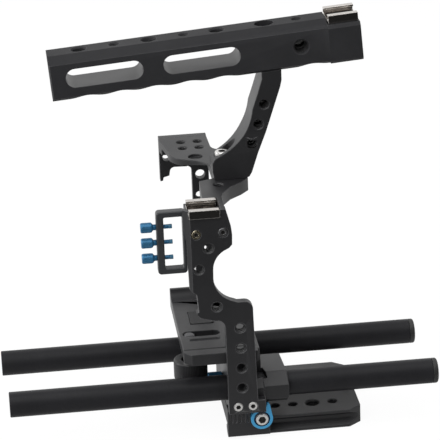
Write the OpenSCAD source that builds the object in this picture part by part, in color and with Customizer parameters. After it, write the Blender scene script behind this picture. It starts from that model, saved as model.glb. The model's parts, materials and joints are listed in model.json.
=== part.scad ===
// Camera cage with a top handle, a fifteen millimetre rod clamp and a quick release tripod plate.
// The front of the rig, where the lens points, is -X. +Y is the camera's grip side and +Z is up.
// Pieces are drawn about the lens: x runs back from the near rod's front end, y is zero under the
// lens, and z is zero at the height of the rod axes. set_down() then moves each to the part's frame.

/* [Rods] */
// Diameter of both rods
rod_d = 15; // [15]
// Distance between the rod axes
rod_pitch = 60; // [60]
// Length of each rod, with its end plugs
rod_len = 254; // [200:1:300]
// How far the far rod sits forward of the near one
far_rod_lead = 2.8; // [0:0.1:10]

/* [Cage] */
// Inner width of the cage, from the side plate to the grip leg
cage_w = 125; // [122:1:130]
// Height of the bridge's top face above the rod axes
bridge_top = 119; // [119]
// Thickness of the bridge
bridge_t = 8; // [8:0.5:9]
// Thickness of the side plate
plate_t = 5; // [4.5:0.1:5]
// Thickness of the grip leg
leg_t = 5; // [4.5:0.1:6]
// Height of the camera's seat above the rod axes
seat_z = 28; // [28]

/* [Handle] */
// Length of the handle
handle_len = 180; // [178:1:190]
// Width of the handle
handle_w = 24; // [22:1:28]
// Height of the handle's section
handle_h = 25; // [25:0.5:27]
// Angle by which the handle rises towards the back
handle_pitch = 4.2; // [3:0.1:5]
// Distance between the finger grooves
groove_pitch = 19.7; // [18:0.1:21]

/* [Tripod plate] */
// Length of the tripod plate
plate_len = 79; // [76:1:90]
// Width of the tripod plate
plate_w = 70; // [70]
// Thickness of the tripod plate
plate_h = 11.1; // [11:0.1:12]
// Depth of the grooves along its sides
groove_d = 4.5; // [4:0.1:5]

/* [Cable clamp] */
// Outer width of the clamp frame
clamp_w = 17; // [16:0.5:17]
// Outer height of the clamp frame
clamp_h = 38; // [36:1:40]
// Distance between the thumbscrews
thumb_pitch = 9.4; // [8:0.1:10]
// Diameter of a thumbscrew's head
thumb_d = 5.8; // [5:0.1:7]

/* [Hidden] */
$fn = 64;

eps = 0.01;
cut = 1;                  // how far a cutting shape runs past the face that it cuts
quarter_tap_r = 2.6;      // wall radius of a 1/4 inch tapped hole
three_eighth_tap_r = 4.0; // wall radius of a 3/8 inch tapped hole
thread_gap = 0.1;         // a screw's shank stands this far inside its hole
run_gap = 0.05;           // radial clearance of a running fit

// M3 cap screws that hold the plates
m3_r = 1.5;
m3_head_r = 2.75;
m3_pass_r = 1.6;
m3_sink_r = 3;
m3_sink = 2.6;

// Rods
rod_r = rod_d / 2;
near_y = -rod_pitch / 2;
far_y = rod_pitch / 2;
rod_wall = 2;
back_plug_t = 3;
plug_depth = 10;

// Cage
side_in_y = -43;                  // inner face of the side plate
side_out_y = side_in_y - plate_t; // its outer face
leg_in_y = side_in_y + cage_w;    // inner face of the grip leg
leg_out_y = leg_in_y + leg_t;
bridge_low = bridge_top - bridge_t;

// Base plate
base_t = 7;
base_low = seat_z - base_t;
base_x0 = 103;
base_x1 = 146;
base_far_y = 48;
slot_y = -12;                     // the camera screw's slot
slot_x0 = 105.1;
slot_x1 = 127;
slot_w = 7.4;
camera_x = slot_x0 + slot_w / 2;  // where the camera screw stands at rest

// Rod clamp
body_x0 = 129;
body_x1 = 149;
tongue_x1 = 152;
lobe_x1 = 164;
body_half = 43;
body_low = -9.8;
tongue_low = -18.7;
lock_z = -9;                      // height of the rod lock's axis
brake_x0 = 135;                    // the rod lock's brake shoes
brake_len = 8;

// Tripod plate
tripod_top = tongue_low - 0.2;
tripod_low = tripod_top - plate_h;
tripod_mid = (tripod_top + tripod_low) / 2;
tripod_x0 = 128.8;
tripod_hole_x = [157.3, 168.1, 179.8, 192.1];
stop_x = [133.5, 203];             // screws that keep the plate from sliding out
stop_channel_x1 = 147;            // the front one travels in a channel that ends here
row_y = 20.7;

// Clamp jaw and its lever
jaw_x0 = 127;
jaw_y0 = -39.5;
jaw_back_y = -32.4;
lever_x = 147;
lever_z = -16.6;
lever_t = 3.1;
lever_r = 6.6;
jaw_pin_x = [131.5, 140];
jaw_pin_z = -15.6;

// Cold shoes
cold_len = 17.5;
cold_w = 20.4;
cold_slot_w = 18.7;
cold_gap = 12.6;
cold_h = 5;
cold_floor = 1.3;
cold_slot_h = 2.3;
side_cold_x = 108.5;
side_cold_y = -39.2;
side_cold_z = 114.5;
side_cold_screw_x = [112.8, 121.7];

// Cable clamp
clamp_x0 = 90.2;
clamp_z0 = 79.6;
clamp_y0 = -42.5;
clamp_t = 6;
clamp_mid_y = clamp_y0 + clamp_t / 2;
pivot_x = 112.2;
pivot_z = 104.6;
lug_t = 4.8;
lug_r = 4.6;
thumb_z1 = 108;                   // axis of the top thumbscrew
thumb_x0 = 81.3;                  // end face of a thumbscrew's head
thumb_head = 7.2;
thumb_neck = 1.6;
thumb_r = 1.25;
thumb_tip_x = 98.2;

// Handle
arm_y0 = 0;                       // near face of the arm
arm_t = 15;
mid_y = arm_y0 + arm_t / 2;
handle_x = 37.5;                  // front lower edge of the handle
handle_z = 176.05;
block_x = 161;                    // the thicker back end starts here, along the handle
block_extra = 2;                  // it stands out by this much on each side
block_h = 22;
handle_screw_x = 126;
arm_screw_x = 134.4;
arm_screw_z = 129;                // seat of the arm screw's washer
arm_travel = 3.5;
handle_seat = 11;                 // seat of the handle's own screw
side_tap_x = 145;
shoe_screw_x = [4.5, 13.5];       // the shoe's screws, from its front end

// The part's frame: the middle of its bounding box, on the tripod plate's underside
frame_x = (rod_len - far_rod_lead) / 2;
frame_y = (leg_out_y + side_cold_y - cold_w / 2) / 2;

module set_down() {
    translate([-frame_x, -frame_y, -tripod_low]) children();
}

// Points along an arc about (cx, cy), from angle a0 to a1
function arc(cx, cy, r, a0, a1, n = 10) =
    [for (i = [0:n]) [cx + r * cos(a0 + (a1 - a0) * i / n), cy + r * sin(a0 + (a1 - a0) * i / n)]];

// A flat plate that stands in the XZ plane, from y0 to y0 + t
module upright(y0, t) {
    translate([0, y0 + t, 0]) rotate([90, 0, 0]) linear_extrude(t) children();
}

// A section in the YZ plane, carried along x
module along_x(x0, len) {
    translate([x0, 0, 0]) rotate([90, 0, 90]) linear_extrude(len) children();
}

module bar_x(x0, len, y, z, r) {
    translate([x0, y, z]) rotate([0, 90, 0]) cylinder(r = r, h = len);
}

module bar_y(y0, len, x, z, r) {
    translate([x, y0 + len, z]) rotate([90, 0, 0]) cylinder(r = r, h = len);
}

module round_slot(x0, x1, w) {
    translate([x0 + w / 2, 0]) circle(d = w);
    translate([x1 - w / 2, 0]) circle(d = w);
    translate([x0 + w / 2, -w / 2]) square([x1 - x0 - w, w]);
}

// A socket head screw that points down -Z, with its head's underside at z = 0
module cap_screw(r, len, head_r, head_h, key) {
    difference() {
        union() {
            translate([0, 0, -len]) cylinder(r = r, h = len + eps);
            cylinder(r = head_r, h = head_h);
        }
        translate([0, 0, head_h / 2]) cylinder(r = key / sqrt(3), h = head_h, $fn = 6);
    }
}

module m3_screw(len) {
    cap_screw(m3_r, len, m3_head_r, m3_sink, 2.5);
}

// A countersunk screw that points down -Z, with its flat face at z = 0
module flat_screw(r, len, head_r, key) {
    difference() {
        union() {
            translate([0, 0, -len]) cylinder(r = r, h = len);
            translate([0, 0, r - head_r]) cylinder(r1 = r, r2 = head_r, h = head_r - r);
        }
        translate([0, 0, -1]) cylinder(r = key / sqrt(3), h = 2, $fn = 6);
    }
}

// Its hole, with the same flat face at z = 0
module flat_hole(r, len, head_r) {
    translate([0, 0, -len]) cylinder(r = r, h = len + cut);
    translate([0, 0, r - head_r]) cylinder(r1 = r, r2 = head_r, h = head_r - r);
    cylinder(r = head_r, h = cut);
}

// ---- Cage ----

// Fixing holes of the side plate: into the bridge, and into the rod clamp
top_hole = [127.6, 104.9];
foot_holes = [[132.8, -5.3], [141.4, -5.3]];
strip_pitch = 12.7;
side_taps = concat([[119, 95.9], [113, 83.2], [122.5, 59.4]],
    [for (i = [0:3]) [135.5, 7 + i * strip_pitch]]);

module side_outline() {
    polygon(concat(
        [[127.3, -9.5], [149, -9.5], [149, -1.6], [144.4, -1.6], [143.3, 54.5]],
        arc(138.6, 56.7, 4.7, 0, 90, 6),
        [[134.5, 61.4]],
        arc(136.6, 77.2, 15.5, 254, 180, 10),
        arc(134.4, 82.4, 13.2, 180, 121, 8),
        [[130.7, 95.2], [132.6, 97.2], [132.8, 103.5], [132.2, 108.8], [129.6, bridge_top],
        [126.6, bridge_top], [126.6, side_cold_z], [108.2, side_cold_z], [108.2, bridge_top],
        [105.2, bridge_top], [105.2, 110], [106.8, 99], [107.4, 70.8], [111.2, 67.6], [112, 56.8]],
        arc(115.6, 57.4, 5, 190, 250, 4),
        [[122.6, 50.4]],
        arc(121.8, 45.9, 5.1, 78, 0, 6),
        [[127.1, 25]]));
}

module side_plate() {
    chamfer_x = 109;      // where the front edge's chamfer starts on the outer face
    chamfer_w = 4.6;
    color([0.16, 0.16, 0.18]) difference() {
        upright(side_out_y, plate_t) side_outline();
        translate([chamfer_x, side_out_y, 68]) linear_extrude(bridge_top - 60)
            polygon([[0, 0], [-chamfer_w, chamfer_w], [-9, chamfer_w], [-9, -cut], [0, -cut]]);
        for (h = side_taps) bar_y(side_out_y - cut, plate_t + 2 * cut, h[0], h[1], quarter_tap_r);
        for (h = concat(foot_holes, [top_hole, [pivot_x, pivot_z]])) {
            bar_y(side_out_y - cut, plate_t + 2 * cut, h[0], h[1], m3_pass_r);
            bar_y(side_out_y - cut, m3_sink + cut, h[0], h[1], m3_sink_r);
        }
    }
}

module side_plate_screws() {
    color("silver") for (h = concat(foot_holes, [top_hole]))
        translate([h[0], side_out_y + m3_sink, h[1]]) rotate([90, 0, 0]) m3_screw(8);
}

four_taps = [for (x = [116, 126.1], y = [61.3, 72.6]) [x, y]];
near_tap = [130.2, -7];
leg_screw_x = [107.4, 128.5];
leg_screw_z = 115;

// The bridge from above: the seat of the side shoe, the bar under the handle's arm, and the plate
// with four holes on the grip side
module bridge_plan() {
    polygon(concat(
        [[118.6, -29], [129, -29], [131, -21.8], [136.3, -12.5], [143.6, -5.6], [148.5, 1],
        [148.5, 38], [144, 50]],
        arc(141, 62, 8, 262, 182, 6),
        [[132.6, leg_in_y], [103.2, leg_in_y], [103.2, leg_in_y - 3], [106.5, 58]],
        arc(122.5, 54, 16, 170, 246, 6),
        [[122, 36.5], [128, 30], [129.6, 24], [129.6, 10], [128.4, 4.7], [119.7, 1.2],
        [118.4, -24.5]]));
}

module bridge() {
    seat_low = 109.9;
    far_t = 4;            // the plate with four holes is thinner than the bar
    lip_t = 1.3;          // and thinner still along its near edge
    color([0.2, 0.2, 0.22]) difference() {
        union() {
            translate([0, 0, bridge_low]) linear_extrude(bridge_t) bridge_plan();
            // seat of the side shoe, and the foot that the side plate is screwed to
            translate([107.8, side_in_y, seat_low]) cube([22, 21, side_cold_z - seat_low]);
            translate([118.6, side_in_y, 99]) cube([12.4, 9, bridge_low - 99]);
            // corner beside the shoe's back end
            translate([126.6, side_in_y, seat_low]) cube([2.9, 15, bridge_top - seat_low]);
        }
        // the shoe stands against the bar's near end
        translate([100, side_in_y - cut, side_cold_z]) cube([26.6, 14.1 + cut, 10]);
        for (h = four_taps) translate([h[0], h[1], bridge_low - cut])
            cylinder(r = quarter_tap_r, h = bridge_t + 2 * cut);
        translate([near_tap[0], near_tap[1], bridge_low - cut])
            cylinder(r = quarter_tap_r, h = bridge_t + 2 * cut);
        along_x(95, 34.4) polygon([[15, bridge_low - cut], [15, bridge_top - lip_t],
            [31, bridge_top - lip_t], [42, bridge_top - far_t], [leg_in_y - 9, bridge_top - far_t],
            [leg_in_y - 9, bridge_low - cut]]);
        // shallow pocket beside the four holes
        translate([122, 44.6, bridge_top - 1.8]) cylinder(r = 4.4, h = 10);
        // the arm's screw and tongue
        translate([arm_screw_x, mid_y, bridge_low - cut])
            cylinder(r = 2.5 + thread_gap, h = bridge_t + 2 * cut);
        translate([129.5, arm_y0 + 1.3, bridge_top - 1.5]) cube([16.5, 2.6, 2]);
        bar_y(side_in_y - cut, 7 + cut, top_hole[0], top_hole[1], m3_r + thread_gap);
        for (x = leg_screw_x) bar_y(leg_in_y - 6.5, 6.5 + cut, x, leg_screw_z, m3_r + thread_gap);
        for (x = side_cold_screw_x) translate([x, side_cold_y, side_cold_z - 4.3])
            cylinder(r = 1.25 + thread_gap, h = 5);
    }
}

strip_x0 = 122.9;
strip_x1 = 133.4;
leg_foot_t = 6;
leg_foot_z = base_low - leg_foot_t;
leg_foot_x = 127;                 // the foot's screw into the base plate
leg_foot_y = base_far_y - 2.8;
leg_foot_mid = [(strip_x0 + strip_x1) / 2, base_low - leg_foot_t / 2];
leg_taps = [[127.2, 80.2], [128.1, 60], [128.1, 44]];
leg_screw_places = concat([for (x = leg_screw_x) [x, leg_screw_z]], [leg_foot_mid]);

// The grip leg: a head against the bridge's end, a stepped cut-out, and one narrow strip down
module grip_leg() {
    color([0.15, 0.15, 0.17]) difference() {
        upright(leg_in_y, leg_t) polygon(concat(
            [[103.2, bridge_top], [103.2, 91], [104.8, 91.3], [105.3, 93.4], [108.9, 94.4],
            [109.3, 97]],
            arc(112.3, 96.8, 3, 180, 90, 5),
            [[120, 99.6]],
            arc(119.6, 96.6, 3.3, 80, 10, 5),
            [[strip_x0, 92], [strip_x0, leg_foot_z], [strip_x1, leg_foot_z],
            [strip_x1, 99], [132.6, bridge_top]]));
        bar_y(leg_in_y - cut, leg_t + 2 * cut, 107.4, 106.4, 2.3);
        bar_y(leg_in_y - cut, leg_t + 2 * cut, 128, 93.9, 3);
        for (h = leg_taps) bar_y(leg_in_y - cut, leg_t + 2 * cut, h[0], h[1], quarter_tap_r);
        for (h = leg_screw_places) {
            bar_y(leg_in_y - cut, leg_t + 2 * cut, h[0], h[1], m3_pass_r);
            bar_y(leg_out_y - m3_sink, m3_sink + cut, h[0], h[1], m3_sink_r);
        }
    }
}

// The leg's foot reaches in under the base plate
module leg_foot() {
    color([0.18, 0.18, 0.2]) difference() {
        translate([strip_x0, base_far_y - 6, leg_foot_z])
            cube([strip_x1 - strip_x0, leg_in_y - base_far_y + 6, leg_foot_t]);
        bar_y(leg_in_y - 6.5, 6.5 + cut, leg_foot_mid[0], leg_foot_mid[1], m3_r + thread_gap);
        translate([leg_foot_x, leg_foot_y, leg_foot_z - cut])
            cylinder(r = m3_pass_r, h = leg_foot_t + 2 * cut);
    }
}

module grip_leg_screws() {
    color("silver") {
        for (h = leg_screw_places) translate([h[0], leg_out_y - m3_sink, h[1]]) rotate([-90, 0, 0])
            m3_screw(8.5);
        translate([leg_foot_x, leg_foot_y, leg_foot_z]) rotate([180, 0, 0]) m3_screw(11.5);
    }
}

// ---- Camera base ----

base_screw_points = [[138.5, -14], [138.5, 14]];

module base_plan() {
    polygon([[107.4, side_in_y], [base_x1, side_in_y], [base_x1, 26], [141, 31], [133.4, 34],
        [131.6, 37], [131.2, base_far_y], [base_x0, base_far_y], [base_x0, -38]]);
}

module base_plate() {
    lip_h = 5.5;
    cove_r = 7;
    color([0.2, 0.2, 0.22]) difference() {
        union() {
            translate([0, 0, base_low]) linear_extrude(base_t) base_plan();
            // far lip, with a cove on its near side
            difference() {
                translate([base_x0, base_far_y - cove_r - 2, seat_z - eps])
                    cube([28.2, cove_r + 2, lip_h]);
                bar_x(base_x0 - cut, 40, base_far_y - cove_r - 2.2, seat_z + cove_r, cove_r);
            }
        }
        translate([0, slot_y, base_low - cut]) linear_extrude(base_t + 2 * cut)
            round_slot(slot_x0, slot_x1, slot_w);
        // shallow second slot, the line near the edge, and the pad's recess
        translate([0, -21, seat_z - 0.8]) linear_extrude(2) round_slot(108, 126.5, 3);
        translate([base_x0 - cut, -35.4, seat_z - 0.6]) cube([60, 1, 2]);
        translate([111, 2, seat_z - 1.5]) cube([14, 19, 2]);
        for (p = base_screw_points) translate([p[0], p[1], seat_z]) flat_hole(2.1, 20, 4.2);
        translate([leg_foot_x, leg_foot_y, base_low - cut])
            cylinder(r = m3_r + thread_gap, h = 6 + cut);
    }
}

module base_screws() {
    color("silver") for (p = base_screw_points) translate([p[0], p[1], seat_z - 0.2])
        flat_screw(2, 18, 4, 2.5);
}

module anti_twist_pad() {
    color([0.09, 0.09, 0.1]) translate([111.2, 2.2, seat_z - 1.5]) linear_extrude(1.9)
        polygon(concat(arc(2, 2, 2, 180, 270, 4), arc(11.6, 2, 2, 270, 360, 4),
            arc(11.6, 16.6, 2, 0, 90, 4), arc(2, 16.6, 2, 90, 180, 4)));
}

camera_knob_top = 12.2;
camera_shank_r = 2.6;
washer_z = 7.5;                   // the screw's washer lies in a recess in the knob
washer_t = 0.8;
recess_r = 5.4;
collar_low = 14;
flange_low = 19.2;
spigot_top = 22;

// Quarter inch camera screw, flush with the seat at rest. Its shank is thinner below the thread, so
// that it stays in the collar
module camera_screw() {
    thread_low = 22.4;
    tip_bevel = 0.6;
    color([0.3, 0.3, 0.31]) translate([camera_x, slot_y, 0]) {
        translate([0, 0, 4]) cylinder(r = camera_shank_r, h = thread_low - 4 + eps);
        translate([0, 0, thread_low]) cylinder(r = 3.1, h = seat_z - tip_bevel - thread_low);
        translate([0, 0, seat_z - tip_bevel - eps]) cylinder(r1 = 3.1, r2 = 2.5, h = tip_bevel);
    }
}

module camera_knob() {
    knob_r = 10;
    bevel = 0.7;
    color([0.1, 0.1, 0.11]) translate([camera_x, slot_y, 0]) difference() {
        rotate_extrude() polygon([[0, 0], [knob_r - bevel, 0], [knob_r, bevel],
            [knob_r, camera_knob_top - bevel], [knob_r - bevel, camera_knob_top], [0, camera_knob_top]]);
        translate([0, 0, 4]) cylinder(r = camera_shank_r, h = 12);
        translate([0, 0, washer_z - 0.1]) cylinder(r = recess_r, h = 12);
    }
}

// Washer that the knob turns under. The screw rises and falls with it
module screw_washer() {
    color("silver") translate([camera_x, slot_y, washer_z]) difference() {
        cylinder(r = recess_r - 0.4, h = washer_t);
        translate([0, 0, -cut]) cylinder(r = camera_shank_r + run_gap, h = washer_t + 2 * cut);
    }
}

// Collar that rides along the slot and guides the camera screw
module screw_collar() {
    flange_top = base_low - 0.1;
    color("silver") translate([camera_x, slot_y, 0]) difference() {
        union() {
            translate([0, 0, collar_low]) cylinder(r = 4.2, h = flange_low + eps - collar_low);
            translate([0, 0, flange_low]) cylinder(r = 5.5, h = flange_top - flange_low);
            translate([0, 0, flange_low]) cylinder(r = slot_w / 2 - run_gap, h = spigot_top - flange_low);
        }
        cylinder(r = camera_shank_r + run_gap, h = 40);
    }
}

// ---- Rod clamp ----

boss_r = 10.3;

module clamp_section() {
    nose_y = 35.2 - groove_d + 0.6;
    polygon(concat(
        [[-body_half, body_low], [-body_half, 3.4], [-36, 9.8], [-29.5, 12.5], [-24, base_low],
        [24, base_low], [29.5, 12.5], [36, 9.8], [body_half, 3.4], [body_half, -6],
        [39.8, body_low], [39.8, tripod_mid - 3.7], [35.1, tripod_mid - 3.7],
        [nose_y, tripod_mid - 1], [nose_y, tripod_mid + 1], [35.1, tripod_mid + 3.7],
        [35.1, tongue_low], [-32, tongue_low], [-32, body_low]]));
}

module lobe_section() {
    polygon(concat([[-42, -4.5], [-42, 3.8], [-34, 10], [-9, 10], [-9, -3]],
        arc(near_y, 0, boss_r, 335, 206, 12)));
}

module rod_clamp_body() {
    color([0.22, 0.22, 0.24]) difference() {
        union() {
            along_x(body_x0, body_x1 - body_x0) clamp_section();
            // the tongue runs on behind the lever's screw
            translate([body_x1 - 1, -32, tongue_low]) cube([tongue_x1 - body_x1 + 1, 64, 8.2]);
            intersection() {
                along_x(body_x1 - 1, lobe_x1 - body_x1 + 1) lobe_section();
                translate([body_x1 - 1, 0, -20]) linear_extrude(40)
                    polygon([[0, -50], [15.9, -46], [14.4, -9], [0, 0.5]]);
            }
        }
        for (y = [near_y, far_y]) bar_x(body_x0 - cut, 40, y, 0, rod_r + run_gap);
        // window over the near rod
        translate([145.2, 0, 3]) linear_extrude(20)
            polygon([[0, -38.2], [6.2, -37.2], [4.2, -28], [0, -28]]);
        // slits from the rods' bores, which let the clamp give
        translate([body_x0 - cut, near_y, -0.8]) cube([60, 16, 1.6]);
        translate([body_x0 - cut, far_y - 16, -0.8]) cube([60, 16, 1.6]);
        // rod lock: front bore, cam chamber open to the back, and the shoes' channel
        bar_x(body_x0 - cut, 20, 0, lock_z, 2.5 + run_gap);
        bar_x(brake_x0 - 0.3, 40, 0, lock_z, 4.6);
        translate([brake_x0 - 0.1, -28, lock_z - 4.1]) cube([brake_len + 0.2, 56, 8.7]);
        for (h = foot_holes) bar_y(-body_half - cut, 6.2 + cut, h[0], h[1], m3_r + thread_gap);
        for (p = base_screw_points) translate([p[0], p[1], seat_z - 19.5])
            cylinder(r = 2 + thread_gap, h = 20);
        // channel for the tripod plate's front stop screw
        translate([body_x0 - cut, -3.3, tongue_low - cut])
            cube([stop_channel_x1 - body_x0 + cut, 6.6, cut + 2.3]);
        // guide bores for the jaw's pins, and the thread of the lever's screw
        for (x = jaw_pin_x) bar_y(-33, 13, x, jaw_pin_z, m3_r + run_gap);
        bar_y(-33, 11, lever_x, lever_z, 2 + run_gap);
    }
}

// A rod is a tube; its two plugs are a node of their own
module rod(y, x0) {
    color([0.13, 0.13, 0.14]) difference() {
        bar_x(x0, rod_len - back_plug_t, y, 0, rod_r);
        bar_x(x0 - cut, rod_len, y, 0, rod_r - rod_wall);
    }
}

module near_rod() { rod(near_y, 0); }
module far_rod() { rod(far_y, -far_rod_lead); }

module rod_plugs(y, x0) {
    bore_r = rod_r - rod_wall;
    round_r = 1.2;
    color([0.1, 0.1, 0.1]) {
        // flat plug in the front end
        bar_x(x0 + 0.6, plug_depth, y, 0, bore_r);
        // rounded cap on the back end
        translate([x0 + rod_len - back_plug_t, y, 0]) rotate([0, 90, 0]) rotate_extrude()
            polygon(concat([[0, -plug_depth], [bore_r, -plug_depth], [bore_r, 0], [rod_r, 0]],
                arc(rod_r - round_r, back_plug_t - round_r, round_r, 0, 90, 5), [[0, back_plug_t]]));
    }
}

module near_rod_plugs() { rod_plugs(near_y, 0); }
module far_rod_plugs() { rod_plugs(far_y, -far_rod_lead); }

lock_knob_len = 9.2;

module rod_lock_knob() {
    knob_r = 5.2;
    bevel = 0.6;
    color([0.1, 0.37, 0.59]) translate([body_x0 - 0.2 - lock_knob_len, 0, lock_z]) rotate([0, 90, 0])
        difference() {
            rotate_extrude() polygon([[0, 0], [knob_r - bevel, 0], [knob_r, bevel],
                [knob_r, lock_knob_len - bevel], [knob_r - bevel, lock_knob_len], [0, lock_knob_len]]);
            translate([0, 0, 2]) cylinder(r = 2.5, h = 12);
        }
}

// The lock's shaft carries a lens shaped cam, whose long axis lies along y when the rods are locked
module rod_lock_shaft() {
    cam_r = 4.07;
    cam_offset = 0.77;
    color("silver") {
        bar_x(body_x0 - lock_knob_len + 2, lock_knob_len + 4.2, 0, lock_z, 2.5);
        translate([brake_x0, 0, lock_z]) rotate([0, 90, 0]) intersection() {
            translate([cam_offset, 0, 0]) cylinder(r = cam_r, h = brake_len);
            translate([-cam_offset, 0, 0]) cylinder(r = cam_r, h = brake_len);
        }
        bar_x(brake_x0 + brake_len - eps, 3, 0, lock_z, 2.5);
    }
}

// A brake shoe lies between the cam and its rod; side is -1 for the near rod and 1 for the far one
module brake_shoe(side) {
    inner_y = 4.06;
    color([0.7, 0.6, 0.35]) difference() {
        translate([brake_x0, side > 0 ? inner_y : -27.4, lock_z - 4])
            cube([brake_len, 27.4 - inner_y, 8.4]);
        bar_x(brake_x0 - cut, brake_len + 2 * cut, side * far_y, 0, rod_r + run_gap);
    }
}

module near_brake_shoe() { brake_shoe(-1); }
module far_brake_shoe() { brake_shoe(1); }

// ---- Quick release ----

module jaw_section() {
    nose_y = -35.2 + groove_d - 0.5;
    polygon([[jaw_y0, tripod_mid - 3.7], [jaw_y0, body_low - 1.2], [jaw_y0 + 0.8, body_low - 0.4],
        [jaw_back_y, body_low - 0.4], [jaw_back_y, tripod_top + 0.3], [-35.2, tripod_top + 0.3],
        [-35.2, tripod_mid + 3.7], [nose_y, tripod_mid + 0.9], [nose_y, tripod_mid - 0.9],
        [-35.2, tripod_mid - 3.7]]);
}

module clamp_jaw() {
    rib_pitch = 2.4;
    color([0.17, 0.17, 0.19]) difference() {
        along_x(jaw_x0, tongue_x1 - jaw_x0) jaw_section();
        // grip ribs beside the lever
        for (i = [0:4]) translate([jaw_x0 + 2 + i * rib_pitch, jaw_y0 - cut, -19.5])
            cube([1.1, cut + 0.7, 10]);
        for (x = jaw_pin_x) bar_y(jaw_y0 + 2, 10, x, jaw_pin_z, m3_r);
        bar_y(jaw_y0 - cut, 12, lever_x, lever_z, 2 + run_gap);
    }
}

module jaw_pins() {
    color("silver") for (x = jaw_pin_x) bar_y(jaw_y0 + 2, 17.5, x, jaw_pin_z, m3_r);
}

// A ring round the screw's head, with one pointed tail that the thumb pushes
module lock_lever() {
    color([0.24, 0.6, 0.86]) translate([lever_x, jaw_y0 - 0.1, lever_z]) rotate([90, 0, 0]) difference() {
        linear_extrude(lever_t) union() {
            circle(r = lever_r);
            polygon([[lever_r * cos(20), lever_r * sin(20)], [5.1, 8.2], [4.6, 9.4], [3.8, 9.8],
                [3, 9.3], [2, 5.5], [0, 3]]);
        }
        translate([0, 0, -cut]) cylinder(r = 2, h = 10);
        translate([0, 0, 1.7]) cylinder(r = 4.6, h = 3);
    }
}

module lever_screw() {
    color("silver") translate([lever_x, jaw_y0 - 0.1 - 1.7, lever_z]) rotate([90, 0, 0])
        cap_screw(2, 17, 3.7, 2.6, 4);
}

module tripod_section() {
    half = plate_w / 2;
    mouth = 3.9;
    waist = 1.2;
    polygon([[-half, tripod_low], [half, tripod_low], [half, tripod_mid - mouth],
        [half - groove_d, tripod_mid - waist], [half - groove_d, tripod_mid + waist],
        [half, tripod_mid + mouth], [half, tripod_top], [-half, tripod_top],
        [-half, tripod_mid + mouth], [-half + groove_d, tripod_mid + waist],
        [-half + groove_d, tripod_mid - waist], [-half, tripod_mid - mouth]]);
}

module tripod_plate() {
    half = plate_w / 2;
    x1 = tripod_x0 + plate_len;
    color([0.2, 0.2, 0.22]) difference() {
        intersection() {
            along_x(tripod_x0, plate_len) tripod_section();
            translate([0, 0, tripod_low - cut]) linear_extrude(plate_h + 2 * cut) polygon([
                [tripod_x0, -half + 6], [tripod_x0 + 9, -half], [x1 - 7.3, -half], [x1, -half + 6],
                [x1, half - 6], [x1 - 7.3, half], [tripod_x0 + 9, half], [tripod_x0, half - 6]]);
        }
        for (side = [-1, 1]) {
            for (i = [0, 1, 3]) translate([tripod_hole_x[i], side * row_y, tripod_low - cut])
                cylinder(r = quarter_tap_r, h = plate_h + 2 * cut);
            translate([tripod_hole_x[2], side * row_y, tripod_low - cut])
                cylinder(r = three_eighth_tap_r, h = plate_h + 2 * cut);
        }
        for (x = stop_x) translate([x, 0, tripod_top - 6]) cylinder(r = m3_r + thread_gap, h = 8);
    }
}

module plate_stop_screws() {
    color("silver") for (x = stop_x) translate([x, 0, tripod_top]) cap_screw(m3_r, 5, m3_head_r, 1.8, 2.5);
}

// ---- Cold shoes ----

// A cold shoe with its front end at x = 0, its centre line at y = 0 and its base at z = 0
module cold_shoe(screw_x) {
    difference() {
        translate([0, -cold_w / 2, 0]) cube([cold_len, cold_w, cold_h]);
        translate([-cut, -cold_slot_w / 2, cold_floor])
            cube([cold_len + 2 * cut, cold_slot_w, cold_slot_h]);
        translate([-cut, -cold_gap / 2, cold_floor]) cube([cold_len + 2 * cut, cold_gap, 10]);
        for (x = screw_x) translate([x, 0, cold_floor]) flat_hole(1.4, 5, 2.5);
    }
}

module cold_screw() {
    flat_screw(1.25, 5, 2.35, 1.5);
}

module side_shoe() {
    color([0.75, 0.74, 0.72]) translate([side_cold_x, side_cold_y, side_cold_z])
        cold_shoe([for (x = side_cold_screw_x) x - side_cold_x]);
}

module side_shoe_screws() {
    color("silver") for (x = side_cold_screw_x)
        translate([x, side_cold_y, side_cold_z + cold_floor]) cold_screw();
}

// ---- Cable clamp ----

module clamp_window() {
    side = 4.2;
    translate([clamp_x0 + side, clamp_z0 + 3.4]) square([10.8, clamp_h - 6.8]);
}

module clamp_outline() {
    round_r = 2;
    difference() {
        union() {
            translate([clamp_x0 + round_r, clamp_z0]) square([clamp_w - 2 * round_r, clamp_h]);
            translate([clamp_x0, clamp_z0 + round_r]) square([clamp_w, clamp_h - 2 * round_r]);
            for (x = [round_r, clamp_w - round_r], z = [round_r, clamp_h - round_r])
                translate([clamp_x0 + x, clamp_z0 + z]) circle(r = round_r);
        }
        clamp_window();
    }
}

module cable_clamp_frame() {
    color([0.24, 0.23, 0.26]) difference() {
        union() {
            upright(clamp_y0, clamp_t) clamp_outline();
            // lug behind the side plate
            upright(clamp_y0, lug_t) translate([clamp_x0 + clamp_w - 1, pivot_z - 4.2]) square([6, 8.4]);
            bar_y(clamp_y0, lug_t, pivot_x, pivot_z, lug_r);
        }
        for (i = [0:2]) bar_x(clamp_x0 - cut, 4.2 + 2 * cut, clamp_mid_y,
            thumb_z1 - i * thumb_pitch, thumb_r + run_gap);
        bar_y(clamp_y0 - cut, clamp_t + 2 * cut, pivot_x, pivot_z, m3_r + run_gap);
    }
}

module cable_clamp_screw() {
    color([0.75, 0.68, 0.5]) translate([pivot_x, side_out_y + m3_sink, pivot_z]) rotate([90, 0, 0])
        m3_screw(11);
}

module cable_clamp_nut() {
    color("silver") difference() {
        translate([pivot_x, clamp_y0 + lug_t + 2.5, pivot_z]) rotate([90, 0, 0])
            cylinder(r = 5.5 / sqrt(3), h = 2.4, $fn = 6);
        bar_y(clamp_y0, 12, pivot_x, pivot_z, m3_r);
    }
}

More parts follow.
